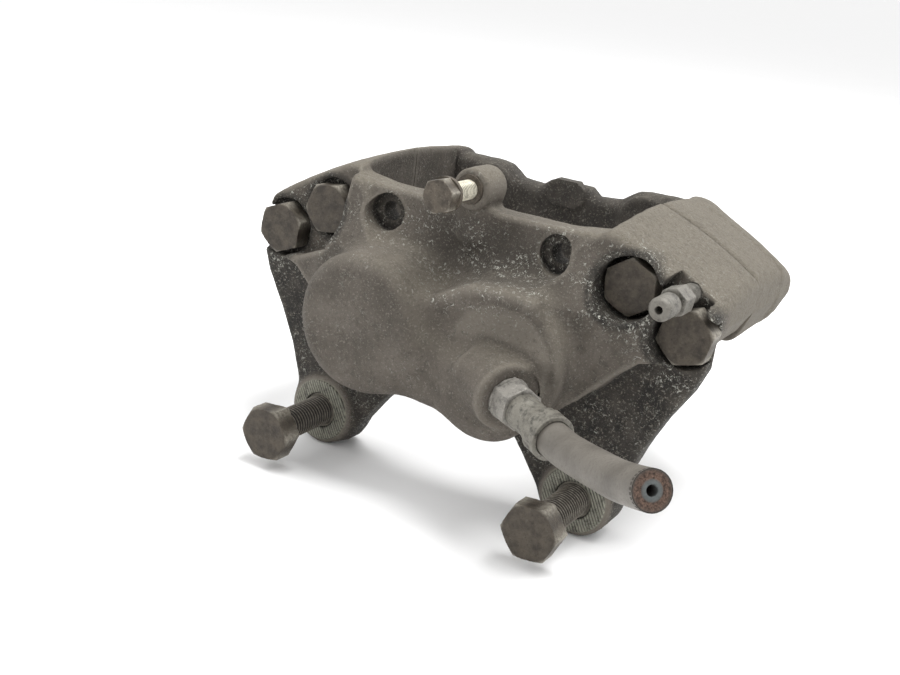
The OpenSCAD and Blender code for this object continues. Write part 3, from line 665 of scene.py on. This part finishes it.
def plated_steel():
    """Ground and plated piston steel, with a light haze of dirt."""
    p = Paint("plated_steel", metallic=0.9, specular=0.5)
    haze = p.noise(6, 5, 0.65)
    p.colour(p.mix((0.62, 0.61, 0.58), (0.27, 0.25, 0.21), p.level(haze, 0.45, 0.75)))
    p.roughness(p.level(haze, 0.3, 0.7, 0.2, 0.5))
    p.bump(p.noise(0.6, 3, 0.6, 0, (1, 8, 1)), 0.02, 0.5)
    return p.material


def cut_rubber():
    """Cut end of the hose: rusty braid between a rubber cover and a grey liner."""
    p = Paint("cut_rubber", specular=0.3, roughness=0.8)
    speck = p.noise(0.8, 4, 0.75)
    cover = p.mix((0.025, 0.021, 0.018), (0.085, 0.074, 0.064), speck)
    braid = p.mix((0.030, 0.019, 0.014), (0.15, 0.095, 0.070), p.level(p.noise(0.7, 3, 0.7), 0.38, 0.7))
    liner = p.mix((0.045, 0.052, 0.052), (0.12, 0.13, 0.128), speck)
    p.colour(p.mix(p.mix(cover, braid, p.mask("braid")), liner, p.mask("liner")))
    p.bump(p.noise(0.6, 4, 0.7), 0.12, 0.9)
    return p.material


IRON = cast_iron()
BOLT_STEEL = dark_steel("bolt_steel")
MOUNT_STEEL = dark_steel("mount_steel", 1.05, 0.25)
THREAD_STEEL = dark_steel("thread_steel", 1.0, 0.4)
SMALL_STEEL = dark_steel("small_bolt_steel", 1.35, 0.6)
ZINC = zinc("zinc_fitting", (0.23, 0.218, 0.195), 0.75)
ZINC_BLEED = zinc("zinc_bleed", (0.165, 0.155, 0.135), 0.85, 0.25)
ZINC_SLEEVE = zinc("zinc_sleeve", (0.17, 0.16, 0.135), 0.9, 0.25)
ZINC_LUG = zinc("zinc_lug", (0.27, 0.265, 0.215), 0.9, 0.35)
BRIGHT = zinc("bright_shank", (0.72, 0.68, 0.56), 0.55, 0.8)
HOSE = hose_rubber()
CUT_RUBBER = cut_rubber()
RUBBER = rubber("boot_rubber")
SEAL_RUBBER = rubber("seal_rubber", 0.015)
PLATED = plated_steel()

# ---------------------------------------------------------------- castings

CASTING_STEP = 0.9


def rough(vertices, normals, machined, depth=0.22):
    """Moves cast surfaces in and out a little, as sand leaves them."""
    sand = lattice(vertices, 7.0, 3) * 0.55 + lattice(vertices, 2.6, 5) * 0.30
    sand = sand + lattice(vertices, 1.3, 9) * 0.22
    return vertices + normals * (depth * sand * (1 - machined))[:, None]


def bend(field, vertices, reach):
    """How strongly a surface curves over a few millimetres: positive on ridges, negative in creases."""
    total = -6 * field(tuple(vertices.T))
    for axis in range(3):
        for step in (-reach, reach):
            shift = np.zeros(3)
            shift[axis] = step
            total = total + field(tuple((vertices + shift).T))
    return total / reach


def casting_masks(vertices, normals, curve, machined):
    """Where the castings carry dust, dirt and chalk, where painted light falls on faces turned up and to the
    light, where painted shade darkens creases, holes and hollows, and where convex edges are lighter as wear
    and painted highlight.
    """
    x, y, z = vertices.T
    ax = np.abs(x)
    radial = np.hypot(x, z - DISC_Z)
    outward = (normals[:, 0] * x + normals[:, 2] * (z - DISC_Z)) / radial
    front = ramp(y, 16, 10)
    # Dust lies on the arched top and the end faces; faces turned up and towards the light get painted light
    # on the same mask
    top = ramp(outward, 0.45, 0.85) * ramp(radial, 152, 160)
    side = ramp(ax, 84, 89) * ramp(np.abs(normals[:, 0]), 0.3, 0.7) * ramp(y, 12, 22)
    up = ramp(normals[:, 2], 0.25, 0.85)
    lit = ramp(normals[:, 0] * 0.5 + normals[:, 2] * 0.6 - normals[:, 1] * 0.3, 0.5, 0.9)
    # Painted light: faces turned up and towards the light are made lighter
    painted_light = np.clip(0.34 * up + 0.42 * lit, 0, 1) * (y < MOUTH_IN) * (z > 20)
    dust = np.clip(np.clip(top + 0.85 * side, 0, 1) + painted_light, 0, 1)
    # Dirt around the bolts and on the ears, together with painted shade in the bolt recesses, inside the
    # window, in the hollow and in the pin holes
    near = np.min([np.hypot(ax - bx, z - bz) for bx, bz in zip(BOLT_XS, BOLT_ZS)], axis=0)
    in_pin = np.hypot(ax - PIN_X, z - PIN_Z)
    ear = ramp(z, 66, 58) * ramp(y, 1.5, 3.5) * ramp(y, MOUTH_IN + 1, MOUTH_IN - 1)
    inner = ramp(ax, WINDOW_X + 2, WINDOW_X - 1) * ramp(y, MOUTH_IN - 0.5, MOUTH_IN + 2.5)
    hollow = np.exp(-((x - 10) / 30) ** 4 - ((z - 80) / 11) ** 4) * ramp(y, -13, -6) * front
    mouth = ramp(in_pin, PIN_MOUTH_R + 0.9, PIN_MOUTH_R + 0.1) * ramp(y, WALL_FRONT - 0.3, WALL_FRONT + 0.3)
    pin_hole = (in_pin < PIN_R + 0.3) * (y > WALL_FRONT + 2.6)
    grime_and_shade = ramp(near, 14.4, 12.6) * front
    for part in (ear, 0.75 * inner, 0.55 * hollow, 0.85 * mouth * (y < MOUTH_IN), pin_hole):
        grime_and_shade = np.maximum(grime_and_shade, part)
    # Chalky corrosion flecks
    around = ramp(near, 20, 12) * front
    pins = ramp(in_pin, 16, 8) * front
    crest = np.exp(-((x - 14) / 22) ** 4 - ((z - 69) / 7) ** 4) * front
    chalk = np.clip(hollow + 0.7 * crest + 0.8 * around + 0.6 * pins + 0.30 * ear, 0, 1)
    # Convex edges: wear and painted highlight
    edge = ramp(curve, 0.25, 1.05) * (1 - machined)
    # Painted shade where the surface bends inwards
    crease_shade = ramp(curve, -0.75, -2.05) * (1 - machined)
    dust = dust * (1 - 0.7 * crease_shade)
    return {"machined": machined, "dust": dust, "grime_and_shade": grime_and_shade, "chalk": chalk, "edge": edge,
            "crease_shade": crease_shade}


def casting(name, field, cuts, node):
    vertices, quads = contour(field, low(node) - 3, high(node) + 3, CASTING_STEP)
    normals = slopes(field, vertices, 0.3)
    curve = bend(field, vertices, 2.5)
    machined = np.clip(1 - np.abs(cuts(tuple(vertices.T))) / 0.35, 0, 1)
    vertices = rough(vertices, normals, machined)
    masks = casting_masks(vertices, normals, curve, machined)
    piece = add_mesh(name, vertices, quads, "caliper", IRON, 50, masks)
    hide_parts(node)


def inner_machined(p):
    m = (np.abs(p[0]), p[1], p[2])
    cuts = np.minimum(bores(p, MOUTH_IN, 1), rod(m, LUG_X, 0, -1, LUG_LEN + 2, LUG_HOLE_R))
    cuts = np.minimum(cuts, np.maximum(np.abs(p[1] - LUG_FACE_Y), np.hypot(m[0] - LUG_X, p[2]) - LUG_R))
    return cuts


def outer_machined(p):
    return bores(p, MOUTH_OUT, -1)


casting("casting_inner", inner_field, inner_machined, "inner_housing")
casting("casting_outer", outer_field, outer_machined, "outer_housing")


# ---------------------------------------------------------------- turned and threaded pieces

def frame_of(direction):
    """Two unit vectors across a direction."""
    d = np.array(direction, float)
    d /= np.linalg.norm(d)
    u = np.cross(d, [0, 0, 1.0])
    u /= np.linalg.norm(u)
    return d, u, np.cross(d, u)


def turned(name, profile, start, direction, body, paint, around=72, wave=None, closed=False):
    """A profile of (radius, distance) points turned about a line. wave(angle, t) adds to the radius."""
    d, u, v = frame_of(direction)
    profile = np.array(profile, float)
    angles = np.linspace(0, 2 * math.pi, around, endpoint=False)
    rows = []
    for r, t in profile:
        radius = np.full(around, r)
        if wave is not None and r > 0.01:
            radius = radius + wave(angles, t, r)
        spokes = np.cos(angles)[:, None] * u + np.sin(angles)[:, None] * v
        rows.append(np.array(start) + t * d + radius[:, None] * spokes)
    vertices = np.concatenate(rows)
    n = len(rows) if closed else len(rows) - 1
    faces = []
    for i in range(n):
        j = (i + 1) % len(rows)
        for k in range(around):
            m = (k + 1) % around
            faces.append((i * around + k, i * around + m, j * around + m, j * around + k))
    piece = add_mesh(name, vertices, faces, body, paint)
    tidy_mesh(piece)
    return piece


def tidy_mesh(piece):
    """Welds the centre points of turned ends and points every face outwards."""
    work = bmesh.new()
    work.from_mesh(piece.data)
    bmesh.ops.remove_doubles(work, verts=work.verts, dist=0.000002)
    bmesh.ops.recalc_face_normals(work, faces=work.faces)
    work.to_mesh(piece.data)
    work.free()


def threaded_rod(name, start, direction, length, r, pitch, body, paint, steps=10, around=48, lead=0.0):
    """A rod with a real helical thread and a tapered end. The first stretch, lead long, is plain."""
    depth = 0.55 * pitch
    d, u, v = frame_of(direction)
    ts = np.arange(0, length + 1e-6, pitch / steps)
    angles = np.linspace(0, 2 * math.pi, around, endpoint=False)
    t, a = np.meshgrid(ts, angles, indexing="ij")
    phase = (t / pitch - a / (2 * math.pi)) % 1.0
    ridge = np.clip(np.abs(phase - 0.5) * 2.4 - 0.1, 0, 1)
    fade = np.clip((t - lead) / pitch, 0, 1)
    end = np.clip((length - t) / (1.2 * pitch), 0, 1)
    radius = r - depth * ridge * fade - 0.8 * depth * (1 - end)
    spokes = np.cos(a)[..., None] * u + np.sin(a)[..., None] * v
    points = np.array(start) + t[..., None] * d + radius[..., None] * spokes
    vertices = points.reshape(-1, 3)
    rows = len(ts)
    grid = np.arange(rows * around).reshape(rows, around)
    right = np.roll(grid, -1, axis=1)
    quads = np.stack([grid[:-1], right[:-1], right[1:], grid[1:]], -1).reshape(-1, 4)
    faces = [tuple(q) for q in quads] + [tuple(grid[0][::-1]), tuple(grid[-1])]
    # Painted shade for the thread's roots
    groove_shade = np.clip((ridge * fade - 0.30) / 0.3, 0, 1).reshape(-1)
    # Painted highlight along the thread's crests
    crest = 0.8 * (np.clip((0.22 - ridge) / 0.15, 0, 1) * fade).reshape(-1)
    piece = add_mesh(name, vertices, faces, body, paint, 45, {"groove_shade": groove_shade, "edge": crest})
    tidy_mesh(piece)
    return piece


def hex_head(name, centre, direction, af, height, body, paint, turn=0.0, step=0.35, washer=False):
    """A hexagonal head whose seat is at centre; direction points from the seat to its face."""
    d, u, v = frame_of(direction)
    step = step * 1

    def field(p):
        q = [p[i] - centre[i] for i in range(3)]
        t = sum(q[i] * d[i] for i in range(3))
        a = sum(q[i] * u[i] for i in range(3))
        b = sum(q[i] * v[i] for i in range(3))
        ca, sa = math.cos(turn), math.sin(turn)
        across = (a * ca - b * sa, a * sa + b * ca)
        radius = np.hypot(a, b)
        body_d = hex_prism(across, t, af, height)
        cone = (radius - af * 0.5) * 0.5 + (t - height) * 0.866
        result = soft_max(soft_max(body_d, cone, 0.35), t - height, 0.2)
        if washer:
            flange = capped(radius - af * 0.49, np.abs(t - 0.2) - 0.4, 0.1)
            result = np.minimum(np.maximum(result, 0.3 - t), flange)
        return result

    reach = np.abs(d) * height + af * 0.62 * np.sqrt(np.maximum(0, 1 - d * d)) + 0.8
    mid = np.array(centre) + d * height / 2
    vertices, quads = contour(field, mid - reach, mid + reach, step)
    q = vertices - np.array(centre)
    t = q @ d
    radius = np.linalg.norm(q - t[:, None] * d, axis=1)
    edge = np.clip((radius - af * 0.5) / (af * 0.06), 0, 1)
    knocks = lattice(vertices, 2.4, 21) * 0.07 + lattice(vertices, 0.9, 22) * 0.035
    vertices = vertices + slopes(field, vertices, 0.1) * knocks[:, None]
    return add_mesh(name, vertices, quads, body, paint, 32, {"edge": edge})


INBOARD, OUTBOARD = (0, -1, 0), (0, 1, 0)
HEAD_H = 8.0  # height of the M12 heads
RETAINER_HEAD_H = 5.0
SHANK_R = 6.0


def mount_bolt(hand, side):
    node = f"mount_bolt_{side}"
    x = LUG_X * hand
    seat = HEAD_Y + HEAD_H
    head = hex_head(f"mount_head_{side}", (x, seat, 0), INBOARD, 19, HEAD_H, node, MOUNT_STEEL,
                    math.radians(25), 0.38)
    shank = threaded_rod(f"mount_thread_{side}", (x, seat - 0.5, 0), OUTBOARD, high(node)[1] - seat + 0.5,
                         SHANK_R, 1.5, node, THREAD_STEEL, lead=1.0)
    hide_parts(node)


def bridge_bolts():
    places = [(-1, 1, 8), (-1, 0, 22), (1, 0, -4), (1, 1, 14)]
    for i, (hand, k, spin) in enumerate(places, 1):
        centre = (hand * BOLT_XS[k], BOLT_SEAT_Y, BOLT_ZS[k])
        head = hex_head(f"bridge_bolt_{i}", centre, INBOARD, 18, HEAD_H, "caliper", BOLT_STEEL,
                        math.radians(spin), 0.38, washer=True)
        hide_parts("bridge_bolts")
        profile = [(0, 0), (SHANK_R, 0), (SHANK_R, 71), (4.8, 72.4), (0, 72.4)]
        shank = turned(f"bridge_shank_{i}", profile, centre, OUTBOARD, "caliper", BOLT_STEEL, 40)


def retainer():
    node = "retainer_bolt"
    seat = low(node)[1] + RETAINER_HEAD_H
    head = hex_head("retainer_head", (0, seat, CENTRE_Z), INBOARD, 11, RETAINER_HEAD_H, node, SMALL_STEEL,
                    math.radians(12), 0.25)
    shank = threaded_rod("retainer_thread", (0, seat - 0.3, CENTRE_Z), OUTBOARD, high(node)[1] - seat + 0.3,
                         3.5, 1.0, node, BRIGHT, lead=5.0, around=40, steps=8)
    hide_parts(node)


def bleed_screw():
    node = "bleed_screw"
    x, z = BLEED[0], BLEED[2]
    tip = low(node)[1]
    hex_y = tip + 8 + 3.5
    hexagon = hex_head("bleed_hex", (x, hex_y + 8.5, z), INBOARD, 9, 8.5, node, ZINC_BLEED,
                       math.radians(9), 0.22)
    outline = [(1.3, 6), (1.3, 0.15), (1.45, 0), (2.9, 0), (3.3, 0.25), (4.0, 1.5), (4.0, 9.3), (3.75, 9.7),
               (3.05, 10.0), (3.0, 11.6), (3.6, 12.0), (3.6, 13)]
    nipple = turned("bleed_nipple", outline, (x, tip, z), OUTBOARD, node, ZINC_BLEED, 56)
    # Painted shade: a dark rubber-coloured tube lines and closes the nipple's bore
    bore = turned("bleed_bore_shade", [(1.32, 0.1), (1.32, 14), (0, 14)], (x, tip, z), OUTBOARD, node, RUBBER, 32)
    shank = threaded_rod("bleed_thread", (x, hex_y + 8.3, z), OUTBOARD, high(node)[1] - hex_y - 8.3,
                         3.5, 1.0, node, ZINC_BLEED, around=40, steps=8)
    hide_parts(node)


mount_bolt(-1, "left")
mount_bolt(1, "right")
bridge_bolts()
retainer()
bleed_screw()


# ---------------------------------------------------------------- brake hose and its fitting

def hose_fitting():
    hexagon = hex_head("hose_fitting_hex", PORT + 0.1 * PORT_DIR, PORT_DIR, 14, FITTING_LEN - 0.1, "caliper",
                       ZINC, math.radians(6), 0.3)
    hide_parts("hose_fitting")

    def crimp(angles, t, r):
        return -0.28 * (np.abs(((angles * 8 / (2 * math.pi)) % 1) - 0.5) < 0.16) * (12.6 < t < 18.5)

    profile = [(0, 0), (6.0, 0), (6.2, 0.3), (6.2, 5.4), (6.1, 5.6), (6.1, 11.2), (6.4, 11.9), (7.2, 12.5),
               (7.55, 12.9)]
    profile += [(7.75, t) for t in np.arange(13.4, 18.7, 0.4)]
    profile += [(7.8, 19.0), (7.8, 19.8), (7.6, 20.0), (6.35, 20.0), (6.1, 19.7), (6.05, 15)]
    sleeve = turned("hose_sleeve_crimped", profile, PORT + FITTING_LEN * PORT_DIR, PORT_DIR, "caliper",
                    ZINC_SLEEVE, 96, crimp)
    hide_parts("hose_sleeve")
    rim = [(4.9, -7), (4.9, 0.1), (7.6, 0.1), (7.7, 0.3), (7.7, 0.9), (7.4, 1.1), (0, 1.1)]
    collar = turned("hose_fitting_collar", rim, PORT, PORT_DIR, "caliper", ZINC, 64)


def brake_hose():
    curve = bpy.data.curves.new("hose", "CURVE")
    curve.dimensions = "3D"
    curve.bevel_depth = HOSE_R * MM
    curve.bevel_resolution = 12
    curve.resolution_u = 10
    curve.use_fill_caps = False
    spline = curve.splines.new("BEZIER")
    spline.bezier_points.add(len(HOSE_ROUTE) - 1)
    for point, place in zip(spline.bezier_points, HOSE_ROUTE):
        point.co = Vector(place * MM)
        point.handle_left_type = point.handle_right_type = "AUTO"
    curve.materials.append(HOSE)
    hose = bpy.data.objects.new("hose", curve)
    bpy.context.scene.collection.objects.link(hose)
    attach(hose, "caliper")
    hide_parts("brake_hose")
    end = HOSE_ROUTE[-1]
    heading = end - HOSE_ROUTE[-2]
    heading = heading / np.linalg.norm(heading)
    cut = [(HOSE_R - 0.02, -1.5), (HOSE_R - 0.01, -0.35), (HOSE_R - 0.3, -0.02), (5.3, -0.05), (4.6, -0.2),
           (3.9, -0.12), (3.3, -0.25), (2.9, -0.05), (2.3, 0.0), (HOSE_BORE_R + 0.15, -0.02),
           (HOSE_BORE_R, -0.2), (HOSE_BORE_R, -9), (0, -9)]
    cap = turned("hose_cut_end", cut, end, heading, "caliper", CUT_RUBBER, 64)
    q = np.array([v.co for v in cap.data.vertices]) / MM - end
    t = q @ heading
    radius = np.linalg.norm(q - t[:, None] * heading, axis=1)
    braid = np.clip((5.6 - radius) / 0.4, 0, 1)
    liner = np.clip((3.2 - radius) / 0.4, 0, 1) * (t > -0.4)
    for key, value in (("braid", braid), ("liner", liner)):
        cap.data.attributes.new(key, "FLOAT", "POINT").data.foreach_set("value", value.astype(np.float32))


hose_fitting()
brake_hose()


# ---------------------------------------------------------------- pistons and boots

def boots():
    """Folded dust boots, which stretch between their seat and their piston."""
    p = PISTON_R
    fold = [(p + 2.3 + 0.32 * math.sin(i * math.pi / 3), -3.6 + 0.7 * i / 24) for i in range(25)]
    profile = [(p + 4.55, -4.75), (p + 4.55, -3.65), (p + 2.9, -3.6)] + fold + [
        (p + 2.6, -2.4), (p + 2.65, -0.6), (p + 2.3, -0.3), (p + 0.6, -0.3), (p + 0.4, -0.5),
        (p + 0.35, -1.6), (p - 1.2, -1.75), (p - 1.2, -2.85), (p + 1.15, -2.85), (p + 1.2, -1.2),
        (p + 1.85, -1.15), (p + 1.9, -2.9), (p + 1.85, -3.6), (p + 1.9, -4.75)]
    for way, side, mouth in ((1, "inner", MOUTH_IN), (-1, "outer", MOUTH_OUT)):
        for hand, name in ((-1, "left"), (1, "right")):
            node = f"boot_{side}_{name}"
            x = hand * PISTON_X
            boot = turned(f"dust_{node}", profile, (x, mouth, PISTON_Z), (0, way, 0), None, RUBBER, 64,
                          closed=True)
            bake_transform(boot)
            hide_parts(node)


boots()


def repaint(paint, *nodes):
    for node in nodes:
        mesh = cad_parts[node].data
        mesh.materials.clear()
        mesh.materials.append(paint)


QUADRANTS = [f"{a}_{b}" for a in ("inner", "outer") for b in ("left", "right")]
repaint(PLATED, *[f"piston_{q}" for q in QUADRANTS])
repaint(ZINC, *[f"boot_ring_{q}" for q in QUADRANTS])
repaint(SEAL_RUBBER, "crossover_seal", *[f"seal_{q}" for q in QUADRANTS])
repaint(SMALL_STEEL, "retainer_bush", "retainer_washer")


# ---------------------------------------------------------------- lug faces

def lug_faces():
    """Machined rings with the coarse parallel serrations that bite into the bracket."""
    for hand, name in ((-1, "left"), (1, "right")):
        radii = np.arange(6.5, 12.31, 0.2)
        around = 180
        angles = np.linspace(0, 2 * math.pi, around, endpoint=False)
        r, a = np.meshgrid(radii, angles, indexing="ij")
        x, z = r * np.cos(a), r * np.sin(a)
        lean = math.radians(28)
        across = x * math.cos(lean) + z * math.sin(lean)
        groove = np.abs(((across / 1.1) % 1) - 0.5) * 2
        depth = 0.26 * groove * np.clip((12.3 - r) / 0.4, 0, 1) + 1.1 * np.clip((7.2 - r) / 0.7, 0, 1)
        y = depth + 0.9 * np.clip((r - 12.0) / 0.3, 0, 1)
        points = np.stack([x + hand * LUG_X, y, z], -1).reshape(-1, 3)
        grid = np.arange(len(radii) * around).reshape(len(radii), around)
        right = np.roll(grid, -1, axis=1)
        quads = np.stack([grid[:-1], grid[1:], right[1:], right[:-1]], -1).reshape(-1, 4)
        # Painted shade in the serration grooves and at the rim of the hole
        groove_shade = np.clip((groove - 0.45) / 0.3, 0, 1) * 0.8
        groove_shade = np.maximum(groove_shade, np.clip((7.4 - r) / 0.5, 0, 1)).reshape(-1)
        piece = add_mesh(f"lug_face_{name}", points, quads, "caliper", ZINC_LUG, 40, {"groove_shade": groove_shade})


lug_faces()


# ---------------------------------------------------------------- floor and light

def plain(name, shade):
    p = Paint(name, roughness=0.9, specular=0.1)
    p.colour(p.mix((shade, shade, shade), (shade * 0.985,) * 3, p.noise(60, 2)))
    return p.material


def stage():
    floor_z = (low("inner_housing")[2] - 0.1) * MM
    mesh = bpy.data.meshes.new("floor")
    s = 30
    corners = [(-s, -s, floor_z), (s, -s, floor_z), (s, s, floor_z), (-s, s, floor_z)]
    mesh.from_pydata(corners, [], [(0, 1, 2, 3)])
    mesh.materials.append(plain("floor", 0.92))
    floor = bpy.data.objects.new("floor", mesh)
    bpy.context.scene.collection.objects.link(floor)
    world = bpy.data.worlds.new("studio")
    world.use_nodes = True
    world.node_tree.nodes["Background"].inputs["Color"].default_value = (1, 1, 1, 1)
    world.node_tree.nodes["Background"].inputs["Strength"].default_value = 1.0
    bpy.context.scene.world = world
    middle_of = Vector((0, 0.03, 0.05))
    lamps = [("key", (0.25, 0.10, 1.2), 0.6, 14), ("left", (-1.1, -0.5, 0.8), 0.8, 5),
             ("back", (0.6, 1.1, 1.0), 0.8, 5)]
    for name, place, size, power in lamps:
        light = bpy.data.lights.new(name, "AREA")
        light.size = size
        light.energy = power
        lamp = bpy.data.objects.new(name, light)
        lamp.location = place
        lamp.rotation_euler = (middle_of - Vector(place)).to_track_quat("-Z", "Y").to_euler()
        bpy.context.scene.collection.objects.link(lamp)


stage()
bpy.context.scene.view_settings.view_transform = "Standard"
